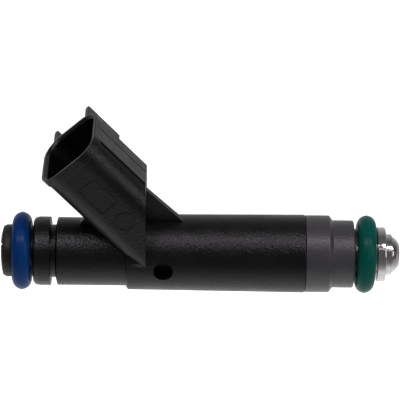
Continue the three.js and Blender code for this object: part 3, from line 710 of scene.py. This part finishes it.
def inlet_cap():
    """The cap round the fuel inlet, its outer edge chamfered and rounded."""
    low, high = span("inlet_cap")
    return finished(
        turned(
            "inlet_cap",
            rounded(
                [
                    (low[0], TUBE_HOLE),
                    (low[0], high[2] - CAP_CHAMFER[1], 0.45),
                    (low[0] + CAP_CHAMFER[0], high[2], 0.5),
                    (high[0], high[2], 0.1),
                    (high[0], TUBE_HOLE),
                ]
            ),
        ),
        cap_nylon,
        ["inlet_cap"],
    )


def o_ring(node, material, lean=0.0):
    """A torus: the point at angle u round the rubber, whose section has radius RING_HALF, is carried round
    the axis. Where the mould's halves met, a low ridge runs round its outside. lean tips it on its seat,
    so that its top stands towards +X, in degrees."""
    middle = (span(node)[0][0] + span(node)[1][0]) / 2
    u = np.linspace(-math.pi, math.pi, 180, endpoint=False)
    height, spread = SEAM_RIDGE
    ridge = height * np.exp(-((u - math.pi / 2) ** 2) / (2 * spread**2))
    size = RING_HALF - 0.01 + ridge
    section = np.column_stack([middle + size * np.cos(u), RING_RADIUS + size * np.sin(u)])
    piece = turned(node + "_rubber", section)
    place = np.zeros(len(piece.data.vertices) * 3)
    piece.data.vertices.foreach_get("co", place)
    place = place.reshape(-1, 3)
    place[:, 0] += math.tan(math.radians(lean)) * place[:, 2]
    piece.data.vertices.foreach_set("co", place.ravel())
    return finished(piece, material, [node], angle=60)


def ring_retainer():
    """The steel ring that keeps the lower O-ring on: a flange and a lower collar."""
    low, high = span("ring_retainer")
    bore = TIP_RADIUS + FIT_GAP
    collar = bore + RETAINER_COLLAR[1]
    x_step = high[0] - RETAINER_COLLAR[0]
    return finished(
        turned(
            "ring_retainer_steel",
            rounded(
                [
                    (low[0], bore),
                    (low[0], high[2], 0.15),
                    (x_step, high[2], 0.35),
                    (x_step, collar, 0.08),
                    (high[0], collar, 0.1),
                    (high[0], bore),
                ]
            ),
        ),
        stainless,
        ["ring_retainer"],
    )


# ---- Inside pieces ---------------------------------------------------------------------------------


def plain_ring(node, inner, material, body=BODY, edge=0.08):
    """A turned ring or tube as long and wide as its CAD node."""
    low, high = span(node)
    ring = turned(node + "_fine", tube(low[0], high[0], inner, high[2], edge), SMALL)
    return finished(ring, material, [node], body)


def inlet_tube():
    """The steel fuel tube: flared at the inlet, thick-walled below its filter, with a nose that is the
    magnet's fixed pole."""
    x0, x_pole = (corner[0] for corner in span("inlet_tube"))
    x_stop = span("filter_screen")[1][0] + FIT_GAP
    nose = BARRIER_BORE - FIT_GAP
    section = rounded(
        [
            (x0, INLET_BORE + INLET_FLARE[1]),
            (x0, TUBE_RADIUS, 0.25),
            (x_pole - POLE_NOSE, TUBE_RADIUS, 0.1),
            (x_pole - POLE_NOSE, nose),
            (x_pole, nose, 0.1),
            (x_pole, POLE_BORE),
            (x_stop, POLE_BORE),
            (x_stop, INLET_BORE),
            (x0 + INLET_FLARE[0], INLET_BORE, 0.1),
        ]
    )
    return finished(turned("fuel_tube", section), stainless, ["inlet_tube"])


def filter_screen():
    """The filter's nylon cup, whose cloth is drawn in by a shallow wave between its hoops."""
    low, high = span("filter_screen")
    outside = high[2]
    x = np.linspace(low[0] + FILTER_END, high[0] - FILTER_END, 160)
    wave = FILTER_WAVE * np.cos(2 * math.pi * (x - x[0]) / FILTER_MESH)
    wall = np.column_stack([x, outside - 0.05 + wave])
    inside = np.column_stack([x, outside - FILTER_WALL + wave])
    section = np.concatenate(
        [
            [(high[0], 0.02), (high[0], outside)],
            wall[::-1],
            [(low[0], outside), (low[0], outside - FILTER_WALL)],
            inside,
            [(high[0] - FILTER_WALL, outside - FILTER_WALL - 0.05), (high[0] - FILTER_WALL, 0.02)],
        ]
    )
    return finished(turned("filter_cup", section, SMALL, solid=True), white_nylon, ["filter_screen"])


def return_spring():
    """Round wire along a helix whose two end turns lie close, as on a ground spring. At turn v the wire's
    middle is at angle 2 pi v, and its place along X eases in and out of the even pitch."""
    low, high = span("return_spring")
    radius = high[2] - SPRING_WIRE
    v = np.linspace(0, SPRING_TURNS, SPRING_TURNS * 40 + 1)
    share = v / SPRING_TURNS
    eased = share - np.sin(2 * math.pi * share) / (2.6 * math.pi)
    x = low[0] + SPRING_WIRE + (high[0] - low[0] - 2 * SPRING_WIRE) * eased
    angle = 2 * math.pi * v
    out = np.stack([np.zeros_like(v), np.sin(angle), np.cos(angle)], -1)
    middle = out * radius + np.stack([x, 0 * x, 0 * x], -1)
    way = np.gradient(middle, axis=0)
    way /= np.linalg.norm(way, axis=1)[:, None]
    side = np.cross(way, out)
    u = np.linspace(0, 2 * math.pi, 14, endpoint=False)
    across = np.cos(u)[None, :, None] * out[:, None] + np.sin(u)[None, :, None] * side[:, None]
    grid = middle[:, None] + SPRING_WIRE * across
    spring = finished(skin("spring_wire", grid), spring_steel, ["return_spring"], angle=50)
    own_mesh(spring)


def flux_washer():
    """The washer that closes the magnet's can, slotted at its top for the two terminals."""
    low, high = span("flux_washer")
    half = (TAIL_PITCH + TAIL_WIDTH) / 2 + CAST_GAP
    ring = turned("washer_steel", tube(low[0], high[0], TUBE_HOLE, CAN_BORE - FIT_GAP))
    slot = prism("slot", [(-half, 0), (half, 0), (half, 9), (-half, 9)], [low[0] - 1, high[0] + 1], along_x)
    combine(ring, "DIFFERENCE", [slot])
    return finished(ring, magnet_steel, ["flux_washer"])


def along_x(points):
    """Points whose outline is in (y, z) and whose level is x."""
    return points[..., [2, 0, 1]]


def coil():
    """The bobbin, and on it the wire: its outside is a row of half-round turns a wire's pitch apart."""
    low, high = span("coil_bobbin")
    x0, x1 = low[0], high[0]
    bobbin = rounded(
        [
            (x0, TUBE_HOLE),
            (x0, BOBBIN_RADIUS, 0.15),
            (x0 + BOBBIN_FLANGE, BOBBIN_RADIUS, 0.15),
            (x0 + BOBBIN_FLANGE, BOBBIN_CORE),
            (x1 - BOBBIN_FLANGE, BOBBIN_CORE),
            (x1 - BOBBIN_FLANGE, BOBBIN_RADIUS, 0.15),
            (x1, BOBBIN_RADIUS, 0.15),
            (x1, TUBE_HOLE),
        ]
    )
    finished(turned("bobbin", bobbin), white_nylon, ["coil_bobbin"])
    low, high = span("coil_winding")
    turns = round((high[0] - low[0]) / WIRE_PITCH)
    x = np.linspace(low[0], high[0], turns * 8 + 1)
    crest = np.abs(np.sin(math.pi * turns * (x - low[0]) / (high[0] - low[0])))
    wires = np.column_stack([x, high[2] - WIRE_BULGE + WIRE_BULGE * crest])
    core = [(high[0], BOBBIN_CORE + FIT_GAP), (low[0], BOBBIN_CORE + FIT_GAP)]
    winding = turned("winding", np.concatenate([wires, core]), SMALL)
    finished(winding, copper_wire, ["coil_winding"], angle=60)


def coil_housing():
    """The magnet's can: a drawn cup with a thick bored floor at the nozzle end."""
    low, high = span("coil_housing")
    x_floor = high[0] - CAN_BASE
    section = rounded(
        [
            (low[0], CAN_BORE),
            (low[0], high[2], 0.2),
            (high[0], high[2], 0.5),
            (high[0], TUBE_HOLE),
            (x_floor, TUBE_HOLE),
            (x_floor, CAN_BORE, 0.3),
        ]
    )
    return finished(turned("can", section), magnet_steel, ["coil_housing"])


def bent_strip(route, half):
    """The outline of a strip of even thickness along a bent route. At a bend it is set out along the sum
    of the two sides' square-on directions, so that both sides keep their thickness."""
    points = np.array(route, float)
    way = np.diff(points, axis=0)
    way /= np.linalg.norm(way, axis=1)[:, None]
    square = np.column_stack([-way[:, 1], way[:, 0]])
    before = np.concatenate([square[:1], square])
    after = np.concatenate([square, square[-1:]])
    mitre = before + after
    mitre /= np.linalg.norm(mitre, axis=1)[:, None]
    mitre *= half / (mitre * before).sum(1)[:, None]
    return np.concatenate([points - mitre, (points + mitre)[::-1]])


def terminal(node, side):
    """A flat blade with an eased tip in the socket, and the narrow tail that bends down beside the block's
    flat and runs along the tube to the bobbin."""
    x_drop = x_block_end - COVER_WALL - CAST_GAP - BLADE_HALF
    drop = (x_drop - x_foot) / SOCKET_OUT[0]
    tip = SOCKET_REACH - SOCKET_DEPTH + BLADE_LENGTH

    def on_axis(along):
        """The (x, z) of a place on the socket's axis."""
        return x_foot + along * SOCKET_OUT[0], along * SOCKET_OUT[2]

    ease, narrower = BLADE_EASE
    half = BLADE_WIDTH / 2
    flat = rounded(
        [
            (-half, drop + BLADE_WIDTH),
            (half, drop + BLADE_WIDTH),
            (half, tip - ease, 0.3),
            (half - narrower, tip, 0.2),
            (narrower - half, tip, 0.2),
            (-half, tip - ease, 0.3),
        ],
        3,
    )
    middle = side * BLADE_PITCH / 2
    blade = prism(
        node + "_blade",
        flat,
        [-BLADE_HALF, BLADE_HALF],
        lambda p: from_socket(p[..., [2, 0, 1]] + [0, middle, 0]),
    )
    route = [
        on_axis(drop + BLADE_WIDTH + BLADE_HALF),
        on_axis(drop),
        (x_drop, TUBE_HOLE + CAST_GAP + BLADE_HALF),
        (span("coil_bobbin")[0][0] - FIT_GAP, TUBE_HOLE + CAST_GAP + BLADE_HALF),
    ]
    outline = bent_strip(route, BLADE_HALF - 0.01)
    y = side * TAIL_PITCH / 2
    levels = [y - TAIL_WIDTH / 2, y + TAIL_WIDTH / 2]
    tail = prism("tail", outline, levels, lambda p: p[..., [0, 2, 1]])
    combine(bevel(blade, 0.12), "UNION", [tail])
    return finished(blade, tinned_bronze, [node])


def valve_body():
    """The nozzle's steel body: a long bored tube whose domed end holds the discs in by its lip."""
    low, high = span("valve_body")
    x_flange = span("ring_retainer")[0][0] - FIT_GAP
    x_bore = span("armature")[1][0] + ARMATURE_ROOM
    x_pocket = span("ball_guide")[0][0] - FIT_GAP
    x_lip = high[0] - END_LIP
    section = rounded(
        [
            (low[0], BARRIER_BORE),
            (low[0], TUBE_RADIUS, 0.1),
            (x_flange, TUBE_RADIUS, 0.05),
            (x_flange, TIP_RADIUS),
            (high[0] - TIP_CONE[0], TIP_RADIUS, 0.3),
            (high[0] - TIP_BULGE[0] * TIP_CONE[0], TIP_RADIUS - TIP_BULGE[1] * TIP_CONE[1], 0.9),
            (high[0], TIP_RADIUS - TIP_CONE[1], 0.3),
            (high[0], END_OPENING, 0.1),
            (x_lip, END_OPENING),
            (x_lip, POCKET),
            (x_pocket, POCKET),
            (x_pocket, BODY_BORE),
            (x_bore, BODY_BORE),
            (x_bore, BARRIER_BORE),
        ]
    )
    return finished(turned("nozzle_body", section), stainless, ["valve_body"])


def drilled(piece, holes, circle, radius, x0, x1):
    """Drills holes along X, evenly round a circle, the first half a step from the top."""
    t = np.linspace(0, 2 * math.pi, 24, endpoint=False)
    outline = radius * np.column_stack([np.sin(t), np.cos(t)])
    drills = []
    for i in range(holes):
        angle = 2 * math.pi * (i + 0.5) / holes
        centre = circle * np.array([math.sin(angle), math.cos(angle)])
        drills.append(prism(f"drill_{i}", outline + centre, [x0, x1], along_x))
    combine(piece, "DIFFERENCE", drills)
    return piece


def ball_guide():
    """The disc that centres the ball, with a ring of fuel ports."""
    low, high = span("ball_guide")
    hole = high[2] - GUIDE_WALL
    disc = turned("guide_disc", tube(low[0], high[0], hole, high[2], 0.06), SMALL)
    holes, radius = GUIDE_PORTS
    drilled(disc, holes, (hole + high[2]) / 2, radius, low[0] - 1, high[0] + 1)
    return finished(disc, stainless, ["ball_guide"])


def valve_seat():
    """The seat: a cone at 45 degrees that leads to the throat."""
    low, high = span("valve_seat")
    apex = high[0] - SEAT_THROAT + SEAT_BORE
    rim = BALL_RADIUS + SEAT_RIM
    section = rounded(
        [
            (low[0], high[2], 0.1),
            (high[0], high[2], 0.1),
            (high[0], SEAT_BORE),
            (high[0] - SEAT_THROAT, SEAT_BORE),
            (apex - rim, rim),
            (low[0], rim),
        ]
    )
    return finished(turned("seat_steel", section), stainless, ["valve_seat"])


def orifice_plate():
    """The thin plate with the spray holes, its edges broken."""
    low, high = span("orifice_plate")
    edge = 0.04
    outside = [
        (low[0], high[2] - edge),
        (low[0] + edge, high[2]),
        (high[0] - edge, high[2]),
        (high[0], high[2] - edge),
    ]
    plate = turned("spray_plate", outside, SMALL, solid=True)
    holes, circle, radius = ORIFICES
    drilled(plate, holes, circle, radius, low[0] - 1, high[0] + 1)
    return finished(plate, stainless, ["orifice_plate"])


def armature():
    """The magnet's moving iron: a spring seat in its inlet end and the needle's hole in its other end."""
    low, high = span("armature")
    hole = NEEDLE_RADIUS + FIT_GAP
    x_hole = high[0] - NEEDLE_IN_ARMATURE - FIT_GAP
    section = rounded(
        [
            (low[0], POLE_BORE),
            (low[0], high[2], 0.15),
            (high[0], high[2], 0.15),
            (high[0], hole),
            (x_hole, hole),
            (x_hole, NEEDLE_BORE),
            (low[0] + SPRING_SEAT_DEPTH, NEEDLE_BORE),
            (low[0] + SPRING_SEAT_DEPTH, POLE_BORE),
        ]
    )
    return finished(turned("armature_steel", section), magnet_steel, ["armature"], VALVE)


def valve_ball():
    """A sphere: at angle t from its inlet side, x is -R cos t and the radius is R sin t."""
    low, high = span("valve_ball")
    t = np.linspace(0.02, math.pi - 0.02, 60)
    middle = (low[0] + high[0]) / 2
    section = np.column_stack([middle - BALL_RADIUS * np.cos(t), BALL_RADIUS * np.sin(t)])
    ball = turned("ball", section, SMALL, solid=True)
    return finished(ball, stainless, ["valve_ball"], VALVE, angle=60)


cover()
nozzle_sleeve()
inlet_cap()
o_ring("upper_o_ring", blue_rubber)
o_ring("lower_o_ring", green_rubber, LOWER_RING_LEAN)
ring_retainer()
inlet_tube()
plain_ring("filter_ring", INLET_BORE - FIT_GAP - FILTER_RING_WALL, brass)
filter_screen()
plain_ring("adjusting_tube", POLE_BORE - FIT_GAP - ADJUSTING_WALL, stainless)
return_spring()
flux_washer()
coil()
coil_housing()
terminal("terminal_left", -1)
terminal("terminal_right", 1)
plain_ring("barrier_sleeve", BARRIER_BORE, stainless)
valve_body()
ball_guide()
valve_seat()
orifice_plate()
plain_ring("backing_ring", END_OPENING, stainless)
armature()
plain_ring("needle", NEEDLE_BORE, stainless, VALVE, edge=0.05)
valve_ball()

# ---- Camera, floor and light -----------------------------------------------------------------------


def camera():
    """Looks at the injector from the side and 31 degrees above, with a long lens."""
    elevation = math.radians(31)
    roll = math.radians(0.629)
    distance = 450 * MM
    width_seen = 75.33 * MM
    right = Vector((1, 0, 0))
    up = Vector((0, math.sin(elevation), math.cos(elevation)))
    forward = Vector((0, math.cos(elevation), -math.sin(elevation)))
    target = Vector((-31.2, 0, 0)) * MM + up * 9.861 * MM
    x_axis = right * math.cos(roll) + up * math.sin(roll)
    y_axis = up * math.cos(roll) - right * math.sin(roll)
    data = bpy.data.cameras.new("camera")
    data.sensor_width = 36
    data.lens = 36 * distance / width_seen
    data.clip_start = 0.01
    data.clip_end = 20
    made = bpy.data.objects.new("camera", data)
    bpy.context.scene.collection.objects.link(made)
    turn = Matrix((x_axis, y_axis, -forward)).transposed().to_4x4()
    made.matrix_world = Matrix.Translation(target - forward * distance) @ turn
    bpy.context.scene.camera = made


def soft_box(name, direction, length, width, radiance, distance=800, glossy=True):
    """A soft box as long and wide as given, in millimetres, that faces the injector's middle from a
    direction, its length along X as far as it can be. One that isn't glossy shows in no reflection."""
    data = bpy.data.lights.new(name, "AREA")
    data.shape = "RECTANGLE"
    data.size = length * MM
    data.size_y = width * MM
    data.energy = radiance * math.pi * length * width * MM**2
    data.color = linear("#fff6ff")[:3]
    made = bpy.data.objects.new(name, data)
    bpy.context.scene.collection.objects.link(made)
    aim = Vector((-31, 0, 4)) * MM
    away = Vector(direction).normalized()
    made.location = aim + away * distance * MM
    made.rotation_mode = "QUATERNION"
    side = Vector((1, 0, 0)) - away * away.x
    upright = Matrix((side.normalized(), away.cross(side).normalized(), away)).transposed()
    made.rotation_quaternion = upright.to_quaternion()
    made.visible_camera = False
    made.visible_glossy = glossy


def slit(name, degrees):
    """A long narrow soft box in front, at an angle above the horizon."""
    angle = math.radians(degrees)
    soft_box(name, (0, -math.cos(angle), math.sin(angle)), 700, 16, 3.2)


def studio():
    """A white sweep below and behind, and a darker room in front and above. The light depends on the
    angle round X from the front horizon, and it fades towards both ends of X."""
    world = bpy.data.worlds.new("studio")
    bpy.context.scene.world = world
    world.use_nodes = True
    tree = world.node_tree
    tree.nodes.clear()
    way = add(tree, "SeparateXYZ", Vector=add(tree, "TexCoord").outputs["Generated"])
    front = add(tree, "Math", {"operation": "MULTIPLY"}, _0=way.outputs[1], _1=-1.0)
    angle = add(tree, "Math", {"operation": "ARCTAN2"}, _0=way.outputs[2], _1=front.outputs[0])
    share = add(tree, "MapRange", Value=angle.outputs[0], From_Min=-math.pi, From_Max=math.pi)
    ramp = add(tree, "ValToRGB", Fac=share.outputs[0])
    levels = [
        (-180, 0.6),
        (-111, 1.15),
        (-51, 0.95),
        (-29, 0.38),
        (-11, 0.18),
        (7, 0.14),
        (31, 0.12),
        (60, 0.14),
        (90, 0.14),
        (110, 0.12),
        (145, 0.36),
        (180, 0.6),
    ]
    stops = ramp.color_ramp.elements
    while len(stops) < len(levels):
        stops.new(0.5)
    for stop, (degrees, level) in zip(stops, levels):
        stop.position = (degrees + 180) / 360
        stop.color = (level * 0.97, level, level * 0.97, 1)
    endways = add(tree, "Math", {"operation": "ABSOLUTE"}, _0=way.outputs[0])
    dimmed = add(
        tree, "MapRange", Value=endways.outputs[0], From_Min=0.45, From_Max=0.9, To_Min=1.0, To_Max=0.4
    )
    sweep = add(tree, "VectorMath", {"operation": "SCALE"}, _0=ramp.outputs[0], Scale=dimmed.outputs[0])
    seen = add(tree, "LightPath").outputs["Is Camera Ray"]
    tone = add(
        tree, "Mix", {"data_type": "RGBA"}, _0=seen, _6=sweep.outputs[0], _7=(0.93, 0.93, 0.93, 1)
    )
    ground = add(tree, "Background", Color=tone.outputs[2], Strength=1.0)
    out = add(tree, "OutputWorld")
    tree.links.new(ground.outputs[0], out.inputs["Surface"])


def floor():
    """A plain white floor, far enough below for its shadows to be faint."""
    size = 3000
    square = np.array([(-size, -size), (size, -size), (size, size), (-size, size)], float)
    plane = prism("floor", square, [-72, -70], lambda p: p * MM)
    material, _, shader, _ = start("white floor")
    shader.inputs["Base Color"].default_value = (0.9, 0.9, 0.9, 1)
    shader.inputs["Roughness"].default_value = 1.0
    shader.inputs["Emission Color"].default_value = (1, 1, 1, 1)
    shader.inputs["Emission Strength"].default_value = 0.75
    plane.data.materials.append(material)
    plane.visible_glossy = False
    plane.visible_diffuse = False


camera()
studio()
floor()
soft_box("left box", (-0.42, -0.31, 0.86), 420, 130, 13.0)
soft_box("right box", (0.42, -0.31, 0.86), 420, 130, 13.0)
soft_box("end box", (0.886, -0.35, 0.3), 330, 330, 3.2)
slit("upper slit", 70)
soft_box("floor bounce", (0, -0.25, -0.97), 180, 60, 1.0, distance=58, glossy=False)
slit("lower slit", 55)
bpy.context.scene.view_settings.view_transform = "Standard"
